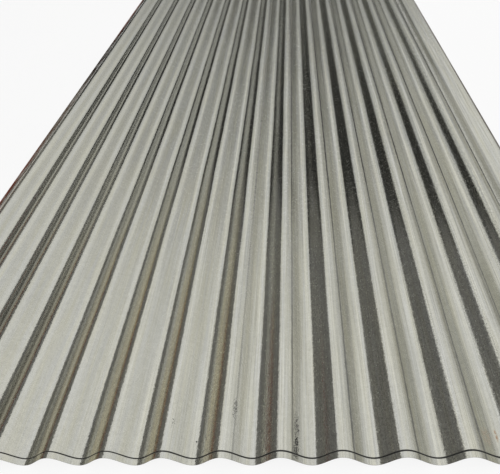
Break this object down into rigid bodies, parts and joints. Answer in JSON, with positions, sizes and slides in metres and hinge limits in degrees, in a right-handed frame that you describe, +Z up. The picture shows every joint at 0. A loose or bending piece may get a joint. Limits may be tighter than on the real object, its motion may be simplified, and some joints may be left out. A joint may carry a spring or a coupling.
{
  "type": "corrugated metal sheet",
  "caption": "Long galvanised steel sheet rolled into parallel waves, with plain cut ends and lapping side edges, for roofing, cladding and fencing.",
  "frame": {"origin": "middle of the sheet's underside, level with the bottoms of the troughs", "axes": "+X across the waves towards the edge that ends in a shallow strip, +Y along the waves, +Z up"},
  "size_m": [1.1048, 2.4, 0.019],
  "materials": {
    "galvanised_steel": "satin"
  },
  "bodies": {
    "root": {"corrugated_sheet": "galvanised_steel"}
  },
  "joints": []
}
